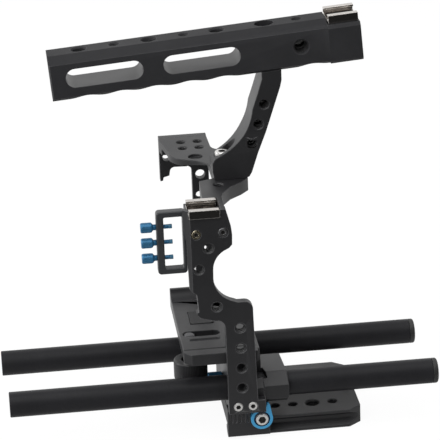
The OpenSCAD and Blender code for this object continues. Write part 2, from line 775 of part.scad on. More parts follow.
// Thumbscrew i, counted from the top: a head, a neck and a shank, with a thin nose for the tip
module thumb_screw(i) {
    nose_r = 0.75;
    nose_len = 0.9;
    len = thumb_tip_x - thumb_x0;
    color([0.1, 0.37, 0.59]) translate([thumb_x0, clamp_mid_y, thumb_z1 - i * thumb_pitch])
        rotate([0, 90, 0]) rotate_extrude() polygon([[0, 0], [thumb_d / 2 - 0.4, 0], [thumb_d / 2, 0.4],
            [thumb_d / 2, thumb_head - 1], [1.7, thumb_head], [1.7, thumb_head + thumb_neck],
            [thumb_r, thumb_head + thumb_neck], [thumb_r, len - nose_len], [nose_r, len - nose_len],
            [nose_r, len], [0, len]]);
}

module thumb_screw_1() { thumb_screw(0); }
module thumb_screw_2() { thumb_screw(1); }
module thumb_screw_3() { thumb_screw(2); }

// Soft tip that presses on the cable while its screw turns inside it
module clamp_tip(i) {
    color([0.12, 0.36, 0.5]) difference() {
        bar_x(thumb_tip_x - 0.85, 2, clamp_mid_y, thumb_z1 - i * thumb_pitch, 1.3);
        bar_x(thumb_tip_x - 2, 2.05, clamp_mid_y, thumb_z1 - i * thumb_pitch, 0.75 + run_gap);
    }
}

module clamp_tip_1() { clamp_tip(0); }
module clamp_tip_2() { clamp_tip(1); }
module clamp_tip_3() { clamp_tip(2); }

// ---- Handle ----

arm_taps = [[158.8, 164.7], [155.1, 152.7], [151.2, 140.4]];
flare_z = 134;                    // the arm widens from here up
flare_top = 148;
flare_half = 10.7;                // half of its width above

// The handle's own frame: x along it from the front, y from its near side, z up from its underside
// as it would be without the lobes
module on_handle() {
    translate([handle_x, mid_y - handle_w / 2, handle_z]) rotate([0, -handle_pitch, 0]) children();
}

module arm_outline() {
    polygon(concat(
        [[129, bridge_top], [147.2, bridge_top], [149.4, bridge_top + 0.9], [151, bridge_top + 3.6],
        [168.6, 174.7], [169.5, 178.7], [169.5, 193], [158, 193], [157.9, 179.7], [155.1, 171]],
        arc(115, 166.5, 37.2, 352.8, 298.3, 14),
        [[129.4, 132], [127.8, 129.3], [127.8, 124]]));
}

// The arm from the front: as wide as its foot below, and almost as wide as the handle above
module arm_width() {
    half = arm_t / 2;
    polygon([[mid_y - half, 110], [mid_y + half, 110], [mid_y + half, flare_z],
        [mid_y + flare_half, flare_top], [mid_y + flare_half, 200], [mid_y - flare_half, 200],
        [mid_y - flare_half, flare_top], [mid_y - half, flare_z]]);
}

module handle_arm() {
    head_room = 4.5;
    color([0.17, 0.17, 0.19]) difference() {
        union() {
            intersection() {
                upright(mid_y - flare_half, 2 * flare_half) arm_outline();
                along_x(120, 60) arm_width();
            }
            translate([133.2, arm_y0 + 1.4, bridge_top - 1.4]) cube([9, 2.4, 2]);
        }
        // the handle lies on the arm's top
        on_handle() translate([80, -20, -lobe]) cube([90, 80, 40]);
        for (h = arm_taps) bar_y(arm_y0 - 10, arm_t + 20, h[0], h[1], quarter_tap_r);
        // slot and pocket for the arm's screw, which stays where it is while the arm slides forward
        translate([0, mid_y, bridge_top - 2]) linear_extrude(20)
            round_slot(arm_screw_x - 2.7, arm_screw_x + arm_travel + 2.7, 5.4);
        translate([0, mid_y, arm_screw_z]) linear_extrude(30)
            round_slot(arm_screw_x - head_room, arm_screw_x + arm_travel + head_room, 2 * head_room);
        on_handle() translate([handle_screw_x, handle_w / 2, -12]) cylinder(r = 2.5 + thread_gap, h = 20);
    }
}

module arm_washer() {
    color("silver") translate([arm_screw_x, mid_y, arm_screw_z + 0.05]) difference() {
        cylinder(r = 4.4, h = 0.8);
        translate([0, 0, -cut]) cylinder(r = 2.6, h = 3);
    }
}

module arm_screw() {
    color("silver") translate([arm_screw_x, mid_y, arm_screw_z + 0.85]) cap_screw(2.5, 16.5, 4.25, 4.6, 4);
}

// Places along the handle: [x, radius] of the holes in its top, and the front ends of its slots
top_taps = [[18.6, three_eighth_tap_r], [39, quarter_tap_r], [59, three_eighth_tap_r],
    [79.2, quarter_tap_r], [98.4, three_eighth_tap_r], [145, quarter_tap_r]];
slot_starts = [9, 65.2];
slot_len = 44.6;
slot_h = 11.2;
slot_mid_z = 11.6;                // height of the slots, and of the hole through the sides
groove_x = concat([for (i = [0:4]) 20.1 + i * groove_pitch], [150.5]);
groove_deep = 0.7;
lobe = 0.8;                       // the lobes between the finger grooves stand down by this much

module handle_section(w, h, side, top) {
    edge = 1.6;
    polygon([[0, edge - lobe], [edge, -lobe], [w - edge, -lobe], [w, edge - lobe], [w, h - top],
        [w - side, h], [side, h], [0, h - top]]);
}

// One finger groove, a soft wave as seen from the side, with its middle at x = 0
module groove_outline(n = 12) {
    polygon(concat([[-groove_pitch / 2, -lobe - 1]],
        [for (i = [0:n]) [groove_pitch * (i / n - 0.5),
            -lobe + (groove_deep + lobe) * (1 - cos(360 * i / n)) / 2]],
        [[groove_pitch / 2, -lobe - 1]]));
}

module handle_grip() {
    front_bevel = 0.8;
    tap_floor = 16;
    block_tap_floor = 17;
    cove = 3.5;
    color([0.2, 0.2, 0.22]) on_handle() difference() {
        union() {
            along_x(0, block_x + 2) handle_section(handle_w, handle_h, 5.5, 4.4);
            // thicker end that carries the shoe, with a slope that leads up to it on each side
            translate([0, -block_extra, 0]) along_x(block_x, handle_len - block_x)
                handle_section(handle_w + 2 * block_extra, block_h, 1.6, 1.6);
            translate([block_x, 0, 1]) linear_extrude(block_h - 3) polygon([[-cove, 1], [-cove, 0],
                [0, -block_extra], [1, -block_extra], [1, handle_w + block_extra],
                [0, handle_w + block_extra], [-cove, handle_w], [-cove, handle_w - 1]]);
        }
        translate([block_x - eps, -20, block_h]) cube([20, 80, 20]);
        for (x = slot_starts) translate([0, handle_w + cut, slot_mid_z]) rotate([90, 0, 0])
            linear_extrude(handle_w + 2 * cut) round_slot(x, x + slot_len, slot_h);
        for (x = groove_x) translate([x, 0, 0]) upright(-4, handle_w + 8) groove_outline();
        // bevelled corners at the front end
        for (y = [0, handle_w]) translate([0, y, -5]) linear_extrude(handle_h + 10) polygon([
            [-front_bevel, 0], [0, -front_bevel], [front_bevel, 0], [0, front_bevel]]);
        for (h = top_taps) translate([h[0], handle_w / 2,
            h[0] > handle_screw_x ? block_tap_floor : tap_floor]) cylinder(r = h[1], h = 20);
        // the handle's own screw sits in a deep counterbore
        translate([handle_screw_x, handle_w / 2, -lobe - cut]) cylinder(r = 2.7, h = 30);
        translate([handle_screw_x, handle_w / 2, handle_seat]) cylinder(r = 5.6, h = 30);
        // three eighths hole through the sides
        translate([side_tap_x, handle_w + cut, slot_mid_z]) rotate([90, 0, 0])
            cylinder(r = three_eighth_tap_r, h = handle_w + 2 * cut);
        for (x = shoe_screw_x) translate([block_x + 1 + x, handle_w / 2, block_h - 7])
            cylinder(r = 1.25 + thread_gap, h = 20);
    }
}

module handle_screw() {
    color("silver") on_handle() translate([handle_screw_x, handle_w / 2, handle_seat])
        cap_screw(2.5, 21, 4.25, 4.6, 4);
}

module handle_shoe() {
    color([0.75, 0.74, 0.72]) on_handle() translate([block_x + 1, handle_w / 2, block_h])
        cold_shoe(shoe_screw_x);
}

module handle_shoe_screws() {
    color("silver") on_handle() for (x = shoe_screw_x)
        translate([block_x + 1 + x, handle_w / 2, block_h + cold_floor]) cold_screw();
}

set_down() side_plate();
set_down() side_plate_screws();
set_down() bridge();
set_down() grip_leg();
set_down() leg_foot();
set_down() grip_leg_screws();
set_down() base_plate();
set_down() base_screws();
set_down() anti_twist_pad();
set_down() camera_screw();
set_down() camera_knob();
set_down() screw_washer();
set_down() screw_collar();
set_down() rod_clamp_body();
set_down() near_rod();
set_down() far_rod();
set_down() near_rod_plugs();
set_down() far_rod_plugs();
set_down() rod_lock_knob();
set_down() rod_lock_shaft();
set_down() near_brake_shoe();
set_down() far_brake_shoe();
set_down() clamp_jaw();
set_down() jaw_pins();
set_down() lock_lever();
set_down() lever_screw();
set_down() tripod_plate();
set_down() plate_stop_screws();
set_down() side_shoe();
set_down() side_shoe_screws();
set_down() cable_clamp_frame();
set_down() cable_clamp_screw();
set_down() cable_clamp_nut();
set_down() thumb_screw_1();
set_down() thumb_screw_2();
set_down() thumb_screw_3();
set_down() clamp_tip_1();
set_down() clamp_tip_2();
set_down() clamp_tip_3();
set_down() handle_arm();
set_down() arm_screw();
set_down() arm_washer();
set_down() handle_grip();
set_down() handle_screw();
set_down() handle_shoe();
set_down() handle_shoe_screws();
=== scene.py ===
import json
from math import cos, radians, sin

import bmesh
import bpy
from mathutils import Matrix, Vector

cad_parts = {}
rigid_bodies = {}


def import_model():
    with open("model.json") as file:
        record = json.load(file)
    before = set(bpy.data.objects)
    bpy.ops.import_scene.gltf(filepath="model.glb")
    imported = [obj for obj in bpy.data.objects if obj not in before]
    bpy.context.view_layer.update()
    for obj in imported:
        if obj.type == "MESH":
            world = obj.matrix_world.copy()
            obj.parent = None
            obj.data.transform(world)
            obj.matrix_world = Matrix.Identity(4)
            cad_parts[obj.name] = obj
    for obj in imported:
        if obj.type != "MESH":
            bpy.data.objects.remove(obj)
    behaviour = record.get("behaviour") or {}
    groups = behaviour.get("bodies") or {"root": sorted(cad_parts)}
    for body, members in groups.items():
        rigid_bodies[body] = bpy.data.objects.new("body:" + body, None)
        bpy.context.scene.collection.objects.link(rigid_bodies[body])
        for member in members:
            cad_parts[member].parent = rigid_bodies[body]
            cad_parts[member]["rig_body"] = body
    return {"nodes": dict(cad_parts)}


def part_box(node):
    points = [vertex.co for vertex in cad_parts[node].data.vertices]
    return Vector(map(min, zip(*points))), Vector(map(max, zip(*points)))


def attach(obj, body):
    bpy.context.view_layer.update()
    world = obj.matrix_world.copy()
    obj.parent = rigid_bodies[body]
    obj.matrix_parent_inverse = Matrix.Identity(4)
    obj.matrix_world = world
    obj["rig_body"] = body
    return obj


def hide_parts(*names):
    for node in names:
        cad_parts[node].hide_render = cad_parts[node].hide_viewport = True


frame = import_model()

scene = bpy.context.scene
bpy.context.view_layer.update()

# ---- Studio ----
# A pale floor under the rig, and three soft lamps: overhead, on the left, and in front. The camera
# sees a white room. What shines sees it white behind the rig and on its left, and dark elsewhere.

mm = 0.001
frame_origin = Vector((125.6, 18.8, -30.0))


def at(x, y, z):
    """A place in the part's frame. In millimetres: x backwards from the near rod's front end, y
    across from under the lens to the far side, and z up from the axes of the rods."""
    return (Vector((x, y, z)) - frame_origin) * mm


def put(tree, kind, ins=None, **settings):
    """A new node. A value in ins that is a socket is linked, and any other is set."""
    node = tree.nodes.new(kind)
    for name, value in settings.items():
        setattr(node, name, value)
    for key, value in (ins or {}).items():
        if isinstance(value, bpy.types.NodeSocket):
            tree.links.new(value, node.inputs[key])
        else:
            node.inputs[key].default_value = value
    return node


turn, rise, roll = radians(5.7257), radians(21.0353), radians(2.2424)
aim, camera_distance = at(130.983, 0, 94.171), 1423.43 * mm
focal_pixels, photo_pixels, sensor_width = 2421.41, 440, 36
look = Vector((sin(turn) * cos(rise), cos(turn) * cos(rise), -sin(rise)))
level = Vector((cos(turn), -sin(turn), 0))
upward = level.cross(look)
side = level * cos(roll) - upward * sin(roll)
top = level * sin(roll) + upward * cos(roll)
camera_data = bpy.data.cameras.new("camera")
camera_data.sensor_width = sensor_width
camera_data.lens = focal_pixels / photo_pixels * sensor_width
camera_data.clip_start, camera_data.clip_end = 0.05, 50
camera = bpy.data.objects.new("camera", camera_data)
camera.matrix_world = Matrix.Translation(aim - look * camera_distance) @ (
    Matrix((side, top, -look)).transposed().to_4x4())
scene.collection.objects.link(camera)
scene.camera = camera
scene.view_settings.view_transform = "Standard"

floor_end = 6
floor_mesh = bpy.data.meshes.new("floor")
floor_mesh.from_pydata([(-floor_end, -floor_end, 0), (floor_end, -floor_end, 0),
    (floor_end, floor_end, 0), (-floor_end, floor_end, 0)], [], [(0, 1, 2, 3)])
floor = bpy.data.objects.new("floor", floor_mesh)
scene.collection.objects.link(floor)
floor_paint = bpy.data.materials.new("floor")
floor_paint.use_nodes = True
paint = floor_paint.node_tree
paint.nodes.clear()
# the floor glows white for the camera, and for what shines where it lies behind or on the left
floor_white, floor_glow = 1.09, 0.86
pale_grey, grey_in_shine = (0.6, 0.6, 0.6, 1), (0.02, 0.02, 0.02, 1)
rays = put(paint, "ShaderNodeLightPath")
spot = put(paint, "ShaderNodeSeparateXYZ", {0: put(paint, "ShaderNodeTexCoord").outputs["Object"]})
behind = put(paint, "ShaderNodeMapRange", {"Value": spot.outputs["Y"], "From Min": -0.3,
    "From Max": 0.1})
leftward = put(paint, "ShaderNodeMapRange", {"Value": spot.outputs["X"], "From Min": -0.08,
    "From Max": -0.4})
around = put(paint, "ShaderNodeMath", {0: behind.outputs[0], 1: leftward.outputs[0]},
    operation="MAXIMUM")
shine = put(paint, "ShaderNodeMath", {0: rays.outputs["Is Glossy Ray"], 1: around.outputs[0]},
    operation="MULTIPLY")
seen = put(paint, "ShaderNodeMath", {0: rays.outputs["Is Camera Ray"], 1: shine.outputs[0]},
    operation="MAXIMUM")
glow = put(paint, "ShaderNodeMath", {0: seen.outputs[0], 1: floor_glow}, operation="MULTIPLY")
pale = put(paint, "ShaderNodeMix", {0: rays.outputs["Is Glossy Ray"], 6: pale_grey,
    7: grey_in_shine}, data_type="RGBA")
matt = put(paint, "ShaderNodeBsdfDiffuse", {"Color": pale.outputs[2]})
white = put(paint, "ShaderNodeEmission", {"Color": (1, 1, 1, 1), "Strength": floor_white})
mixed = put(paint, "ShaderNodeMixShader", {0: glow.outputs[0], 1: matt.outputs[0],
    2: white.outputs[0]})
put(paint, "ShaderNodeOutputMaterial", {"Surface": mixed.outputs[0]})
floor_mesh.materials.append(floor_paint)

world = bpy.data.worlds.new("room")
world.use_nodes = True
scene.world = world
room = world.node_tree
room.nodes.clear()
room_light, room_in_shine = 0.5, 0.03
rays = put(room, "ShaderNodeLightPath")
way = put(room, "ShaderNodeTexCoord")
ways = put(room, "ShaderNodeSeparateXYZ", {0: way.outputs["Generated"]})
back_wall = put(room, "ShaderNodeMapRange", {"Value": ways.outputs["Y"], "From Min": -0.5,
    "From Max": 0.5, "To Min": 0.04, "To Max": 1.0})
shine = put(room, "ShaderNodeMath", {0: rays.outputs["Is Glossy Ray"], 1: back_wall.outputs[0]},
    operation="MULTIPLY")
seen = put(room, "ShaderNodeMath", {0: rays.outputs["Is Camera Ray"],
    1: rays.outputs["Is Transmission Ray"]}, operation="MAXIMUM")
shown = put(room, "ShaderNodeMath", {0: seen.outputs[0], 1: shine.outputs[0]}, operation="MAXIMUM")
ambient = put(room, "ShaderNodeMix", {0: rays.outputs["Is Glossy Ray"], 2: room_light,
    3: room_in_shine})
brightness = put(room, "ShaderNodeMath", {0: shown.outputs[0], 1: ambient.outputs[0]},
    operation="MAXIMUM")
air = put(room, "ShaderNodeBackground", {"Color": (1, 1, 1, 1),
    "Strength": brightness.outputs[0]})
put(room, "ShaderNodeOutputWorld", {"Surface": air.outputs[0]})


def lamp(name, place, target, size, power):
    """A square lamp that faces its target. Places and size in metres, power in watts."""
    data = bpy.data.lights.new(name, "AREA")
    data.shape, data.size, data.energy = "SQUARE", size, power
    made = bpy.data.objects.new(name, data)
    made.location = place
    made.rotation_euler = (Vector(target) - Vector(place)).to_track_quat("-Z", "Y").to_euler()
    scene.collection.objects.link(made)


lamp("overhead", (0.0, -0.4, 1.25), (0, 0, 0.1), 1.2, 7)
lamp("left", (-1.5, 0.25, 0.7), (0, 0, 0.14), 0.9, 9)
lamp("front", (-0.9, -1.1, 1.0), (0, 0, 0.12), 0.8, 9)

# ---- Side plate ----
# The plate on the near side, milled from 5 mm aluminium, bead blasted and anodised black. Two
# screws hold its foot to the rod clamp and one its head to the bridge. Its seven holes are tapped
# 1/4 inch.


def finish(name, colour, rough, metallic=0.0, edge_wear_and_highlight=(0.2, 0.2, 0.21), wear_and_highlight_amount=0.3, edge=0.5,
        grain=0.25, relief=0.012, vary=0.12, stretch=(1, 1, 1), specular=0.5):
    """A finish with fine grain, uneven tone and gloss, and paler edges, which are partly real wear
    and partly a painted highlight where edges catch light. Grain, edge and relief are in mm, and
    stretch below 1 draws the grain out along an axis."""
    made = bpy.data.materials.new(name)
    made.use_nodes = True
    t = made.node_tree
    t.nodes.clear()
    place = put(t, "ShaderNodeTexCoord").outputs["Object"]
    along = put(t, "ShaderNodeMapping", {"Vector": place, "Scale": stretch}).outputs[0]
    fine = put(t, "ShaderNodeTexNoise", {"Vector": along, "Scale": 1 / (grain * mm),
        "Detail": 2.0})
    broad = put(t, "ShaderNodeTexNoise", {"Vector": along, "Scale": 70.0, "Detail": 5.0,
        "Roughness": 0.6})
    hand = put(t, "ShaderNodeTexNoise", {"Vector": place, "Scale": 22.0, "Detail": 3.0})
    tone = put(t, "ShaderNodeMath", {0: fine.outputs[0], 1: broad.outputs[0]}, operation="ADD")
    tone = put(t, "ShaderNodeMapRange", {"Value": tone.outputs[0], "From Min": 0.7,
        "From Max": 1.3})
    shade = put(t, "ShaderNodeMix", {0: tone.outputs[0],
        6: (*[c * (1 - vary) for c in colour], 1),
        7: (*[min(c * (1 + vary), 1) for c in colour], 1)}, data_type="RGBA")
    soft = put(t, "ShaderNodeBevel", {"Radius": edge * mm}, samples=6)
    flat = put(t, "ShaderNodeNewGeometry")
    bend = put(t, "ShaderNodeVectorMath", {0: soft.outputs[0], 1: flat.outputs["Normal"]},
        operation="DOT_PRODUCT")
    rim = put(t, "ShaderNodeMapRange", {"Value": bend.outputs["Value"], "From Min": 0.995,
        "From Max": 0.88})
    patchy_wear_and_highlight = put(t, "ShaderNodeMapRange", {"Value": hand.outputs[0], "From Min": 0.3,
        "From Max": 0.62, "To Min": wear_and_highlight_amount * 0.35, "To Max": wear_and_highlight_amount})
    # paler edges: partly real wear, partly a painted highlight where the edges catch light
    wear_and_highlight_mask = put(t, "ShaderNodeMath", {0: rim.outputs[0], 1: patchy_wear_and_highlight.outputs[0]},
        operation="MULTIPLY")
    paint = put(t, "ShaderNodeMix", {0: wear_and_highlight_mask.outputs[0], 6: shade.outputs[2], 7: (*edge_wear_and_highlight, 1)},
        data_type="RGBA")
    gloss = put(t, "ShaderNodeMapRange", {"Value": hand.outputs[0], "From Min": 0.3,
        "From Max": 0.7, "To Min": rough - 0.05, "To Max": rough + 0.07})
    bump = put(t, "ShaderNodeBump", {"Strength": 0.6, "Distance": relief * mm,
        "Height": fine.outputs[0], "Normal": soft.outputs[0]})
    skin = put(t, "ShaderNodeBsdfPrincipled", {"Base Color": paint.outputs[2],
        "Roughness": gloss.outputs[0], "Metallic": metallic, "Specular IOR Level": specular,
        "Normal": bump.outputs[0]})
    put(t, "ShaderNodeOutputMaterial", {"Surface": skin.outputs[0]})
    return made


def plain_mesh(worker):
    """What the object's modifiers make, as a mesh of its own. The object itself is removed."""
    graph = bpy.context.evaluated_depsgraph_get()
    made = bpy.data.meshes.new_from_object(worker.evaluated_get(graph),
        preserve_all_data_layers=True, depsgraph=graph)
    bpy.data.objects.remove(worker)
    return made


weld, flat_angle = 0.002 * mm, radians(0.5)
corner_angle, crease_angle = radians(30), radians(35)


def machined(node, paint, edge=0.35, steps=2, sinks=()):
    """A copy of a CAD solid with its corners broken, which stands for it. Edge in mm. Each of
    sinks is the countersunk mouth of a tapped hole: its place, its axis outwards, and its outer
    radius."""
    work = bmesh.new()
    work.from_mesh(frame["nodes"][node].data)
    bmesh.ops.remove_doubles(work, verts=work.verts, dist=weld)
    bmesh.ops.dissolve_limit(work, angle_limit=flat_angle, verts=work.verts, edges=work.edges)
    base = bpy.data.meshes.new(node + "_edges")
    work.to_mesh(base)
    work.free()
    base.shade_smooth()
    cones = bmesh.new()
    over, tip_radius = 0.5, 1.0
    for place, axis, radius in sinks:
        # a 45 degree cone, from a little above the mouth down to its tip
        tall = radius - over
        middle = Matrix.Translation(place + axis * (over - tall / 2) * mm)
        bmesh.ops.create_cone(cones, cap_ends=True, segments=48, radius1=tip_radius * mm,
            radius2=(radius + over) * mm, depth=tall * mm,
            matrix=middle @ axis.to_track_quat("Z", "Y").to_matrix().to_4x4())
    cutter = bpy.data.objects.new("countersinks", bpy.data.meshes.new("countersinks"))
    cones.to_mesh(cutter.data)
    cones.free()
    scene.collection.objects.link(cutter)
    low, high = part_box(node)
    slack = 0.02 * mm
    for width in (edge, edge / 2, 0):
        worker = bpy.data.objects.new(node + "_edges", base)
        scene.collection.objects.link(worker)
        if sinks:
            sunk = worker.modifiers.new("countersinks", "BOOLEAN")
            sunk.operation, sunk.solver, sunk.object = "DIFFERENCE", "EXACT", cutter
        if width:
            broken = worker.modifiers.new("corners", "BEVEL")
            broken.width, broken.segments, broken.limit_method = width * mm, steps, "ANGLE"
            broken.angle_limit, broken.use_clamp_overlap = corner_angle, False
            broken.miter_outer = "MITER_ARC"
            worker.modifiers.new("flats", "WEIGHTED_NORMAL").keep_sharp = True
        mesh = plain_mesh(worker)
        if not width:
            mesh.shade_smooth()
            mesh.set_sharp_from_angle(angle=corner_angle)
        if all(low[k] - slack < v.co[k] < high[k] + slack for v in mesh.vertices for k in range(3)):
            break
        print("edge of", node, "doesn't hold at", width)
    bpy.data.objects.remove(cutter)
    mesh.name = node + "_finished"
    mesh.materials.clear()
    mesh.materials.append(paint)
    piece = bpy.data.objects.new(node + "_finished", mesh)
    scene.collection.objects.link(piece)
    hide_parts(node)
    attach(piece, frame["nodes"][node]["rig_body"])
    return piece


def size_tree(name, sizes, counts=()):
    """An empty Geometry Nodes tree with named sizes and counts, and the sockets that it starts
    from."""
    tree = bpy.data.node_groups.new(name, "GeometryNodeTree")
    tree.is_modifier = True
    tree.interface.new_socket("Geometry", in_out="INPUT", socket_type="NodeSocketGeometry")
    for size in sizes:
        tree.interface.new_socket(size, in_out="INPUT", socket_type="NodeSocketFloat")
    for count in counts:
        tree.interface.new_socket(count, in_out="INPUT", socket_type="NodeSocketInt")
    for material in ("Material", "Socket Material"):
        tree.interface.new_socket(material, in_out="INPUT", socket_type="NodeSocketMaterial")
    tree.interface.new_socket("Geometry", in_out="OUTPUT", socket_type="NodeSocketGeometry")
    return tree, put(tree, "NodeGroupInput").outputs


def set_out(tree, start, shape):
    """Ends a tree: the shape stands on each point along the point's axis, as real mesh in its
    material. Faces that are marked in_socket take the second material."""
    axis = put(tree, "GeometryNodeInputNamedAttribute", {"Name": "axis"}, data_type="FLOAT_VECTOR")
    spin = put(tree, "FunctionNodeAlignRotationToVector", {"Vector": axis.outputs[0]}, axis="Z")
    placed = put(tree, "GeometryNodeInstanceOnPoints", {"Points": start["Geometry"],
        "Instance": shape, "Rotation": spin.outputs[0]})
    real = put(tree, "GeometryNodeRealizeInstances", {0: placed.outputs[0]})
    painted = put(tree, "GeometryNodeSetMaterial", {"Geometry": real.outputs[0],
        "Material": start["Material"]})
    inside = put(tree, "GeometryNodeInputNamedAttribute", {"Name": "in_socket"},
        data_type="BOOLEAN")
    painted = put(tree, "GeometryNodeSetMaterial", {"Geometry": painted.outputs[0],
        "Selection": inside.outputs[0], "Material": start["Socket Material"]})
    put(tree, "NodeGroupOutput", {0: painted.outputs[0]})


def made_from(tree, name, sizes, places, paint, body, stands_for=()):
    """The tree's shape at each (place, axis), as one plain mesh piece on that body. Sizes in mm,
    and counts as whole numbers."""
    points = bpy.data.meshes.new(name + "_points")
    points.from_pydata([place for place, _ in places], [], [])
    axes = points.attributes.new("axis", "FLOAT_VECTOR", "POINT")
    axes.data.foreach_set("vector", [c for _, axis in places for c in axis])
    worker = bpy.data.objects.new(name + "_points", points)
    scene.collection.objects.link(worker)
    grow = worker.modifiers.new("grow", "NODES")
    grow.node_group = tree
    for socket in tree.interface.items_tree:
        if socket.in_out == "INPUT" and socket.name in sizes:
            value = sizes[socket.name]
            grow[socket.identifier] = value if isinstance(value, int) else value * mm
        elif socket.in_out == "INPUT" and socket.name == "Material":
            grow[socket.identifier] = paint
        elif socket.in_out == "INPUT" and socket.name == "Socket Material":
            grow[socket.identifier] = socket_shade
    mesh = plain_mesh(worker)
    mesh.name = name
    mesh.shade_smooth()
    mesh.set_sharp_from_angle(angle=crease_angle)
    piece = bpy.data.objects.new(name, mesh)
    scene.collection.objects.link(piece)
    if stands_for:
        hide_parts(*stands_for)
    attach(piece, body)
    return piece


def shift_up(tree, shape, height):
    """Lifts a shape by a socket's height."""
    lift = put(tree, "ShaderNodeCombineXYZ", {"Z": height})
    return put(tree, "GeometryNodeTransform", {"Geometry": shape,
        "Translation": lift.outputs[0]}).outputs[0]


def times(tree, a, b, way="MULTIPLY"):
    """Two numbers or sockets multiplied, or joined in another way, in a tree."""
    return put(tree, "ShaderNodeMath", {0: a, 1: b}, operation=way).outputs[0]


# painted shade for the inside of a screw's hexagon socket, dark where light hardly reaches
socket_shade = finish("socket_shade", (0.03, 0.028, 0.026), 0.5, metallic=0.4,
    edge_wear_and_highlight=(0.2, 0.2, 0.2))

# A thread's ridge winds inward from the point, which lies just under the mouth of its hole or at
# the end of its screw
thread, start = size_tree("thread", ("Radius", "Length", "Pitch", "Ridge"))
winds = times(thread, start["Length"], start["Pitch"], "DIVIDE")
helix = put(thread, "GeometryNodeCurveSpiral", {"Resolution": 26, "Rotations": winds,
    "Start Radius": start["Radius"], "End Radius": start["Radius"], "Height": start["Length"]})
ridge = put(thread, "GeometryNodeCurvePrimitiveCircle", {"Resolution": 3,
    "Radius": start["Ridge"]})
swept = put(thread, "GeometryNodeCurveToMesh", {"Curve": helix.outputs[0],
    "Profile Curve": ridge.outputs[0], "Fill Caps": True})
inward = shift_up(thread, swept.outputs[0], times(thread, start["Length"], -1.0))
set_out(thread, start, inward)

thread_black = finish("thread_black", (0.013, 0.013, 0.014), 0.5, edge_wear_and_highlight=(0.1, 0.1, 0.1), wear_and_highlight_amount=0.3)
quarter = {"Radius": 2.6, "Pitch": 1.27, "Ridge": 0.3}
three_eighths = {"Radius": 4.0, "Pitch": 1.5875, "Ridge": 0.36}


def tapped(name, size, length, places, body):
    """The threads of like holes in black aluminium, as one piece."""
    made_from(thread, name, {**size, "Length": length}, places, thread_black, body)


to_near, to_far = Vector((0, -1, 0)), Vector((0, 1, 0))
to_top, to_floor = Vector((0, 0, 1)), Vector((0, 0, -1))
black_anodised = finish("black_anodised", (0.017, 0.017, 0.0185), 0.42, edge_wear_and_highlight=(0.26, 0.26, 0.27),
    wear_and_highlight_amount=0.7)
quarter_mouth, wide_mouth = 3.3, 4.8
quarter_lead, wide_lead = 0.9, 1.0  # from a hole's mouth to where its thread starts
side_out = -48
side_taps = [(119, 95.9), (113, 83.2), (122.5, 59.4), (135.5, 7), (135.5, 19.7), (135.5, 32.4),
    (135.5, 45.1)]
machined("side_plate", black_anodised, edge=0,
    sinks=[(at(x, side_out, z), to_near, quarter_mouth) for x, z in side_taps])
tapped("side_plate_threads", quarter, 3.8,
    [(at(x, side_out + quarter_lead, z), to_near) for x, z in side_taps], "cage")

# ---- Socket head screws ----
# Zinc plated cap screws, M3 to M5, with a hexagon socket and a finely knurled head. They sit in
# counterbores. Those of the side plate, the grip leg and its foot, and the tripod plate are here.

cap_screw, start = size_tree("cap_screw", ("Shank Radius", "Shank Length", "Head Radius",
    "Head Height", "Chamfer", "Key", "Knurl"))
shank = put(cap_screw, "GeometryNodeMeshCylinder", {"Vertices": 32,
    "Radius": start["Shank Radius"], "Depth": start["Shank Length"]})
shank = shift_up(cap_screw, shank.outputs[0], times(cap_screw, start["Shank Length"], -0.5))
# the head's barrel, with every other corner drawn in as a knurl, and the bevel on top of it
head_corners = 72
barrel_height = times(cap_screw, start["Head Height"], start["Chamfer"], "SUBTRACT")
barrel = put(cap_screw, "GeometryNodeMeshCylinder", {"Vertices": head_corners,
    "Radius": start["Head Radius"], "Depth": barrel_height})
corner = put(cap_screw, "GeometryNodeInputIndex").outputs[0]
every_other = put(cap_screw, "ShaderNodeMath", {0: corner, 1: 2.0}, operation="MODULO")
spot = put(cap_screw, "GeometryNodeInputPosition")
outward = put(cap_screw, "ShaderNodeVectorMath", {0: spot.outputs[0], 1: (1, 1, 0)},
    operation="MULTIPLY")
outward = put(cap_screw, "ShaderNodeVectorMath", {0: outward.outputs[0]}, operation="NORMALIZE")
groove = put(cap_screw, "ShaderNodeVectorMath", {0: outward.outputs[0],
    "Scale": times(cap_screw, start["Knurl"], -1.0)}, operation="SCALE")
barrel = put(cap_screw, "GeometryNodeSetPosition", {"Geometry": barrel.outputs[0],
    "Selection": every_other.outputs[0], "Offset": groove.outputs[0]})
barrel = shift_up(cap_screw, barrel.outputs[0], times(cap_screw, barrel_height, 0.5))
bevel = put(cap_screw, "GeometryNodeMeshCone", {"Vertices": head_corners,
    "Radius Bottom": times(cap_screw, start["Head Radius"], start["Knurl"], "SUBTRACT"),
    "Radius Top": times(cap_screw, start["Head Radius"], start["Chamfer"], "SUBTRACT"),
    "Depth": start["Chamfer"]})
bevel = shift_up(cap_screw, bevel.outputs["Mesh"], barrel_height)
solid = put(cap_screw, "GeometryNodeMeshBoolean", operation="UNION", solver="EXACT")
for part in (barrel, bevel):
    cap_screw.links.new(part, solid.inputs[1])
# the hexagon bar that the socket is cut with: its corners for its width over flats, and its
# middle in the head's height, so that the socket goes down to 0.45 of it
hex_corner, bar_middle = 0.57735, 0.95
hex_bar = put(cap_screw, "GeometryNodeMeshCylinder", {"Vertices": 6,
    "Radius": times(cap_screw, start["Key"], hex_corner), "Depth": start["Head Height"]})
hex_bar = shift_up(cap_screw, hex_bar.outputs[0],
    times(cap_screw, start["Head Height"], bar_middle))
socket = put(cap_screw, "GeometryNodeMeshBoolean", {0: solid.outputs[0], 1: hex_bar},
    operation="DIFFERENCE", solver="EXACT")
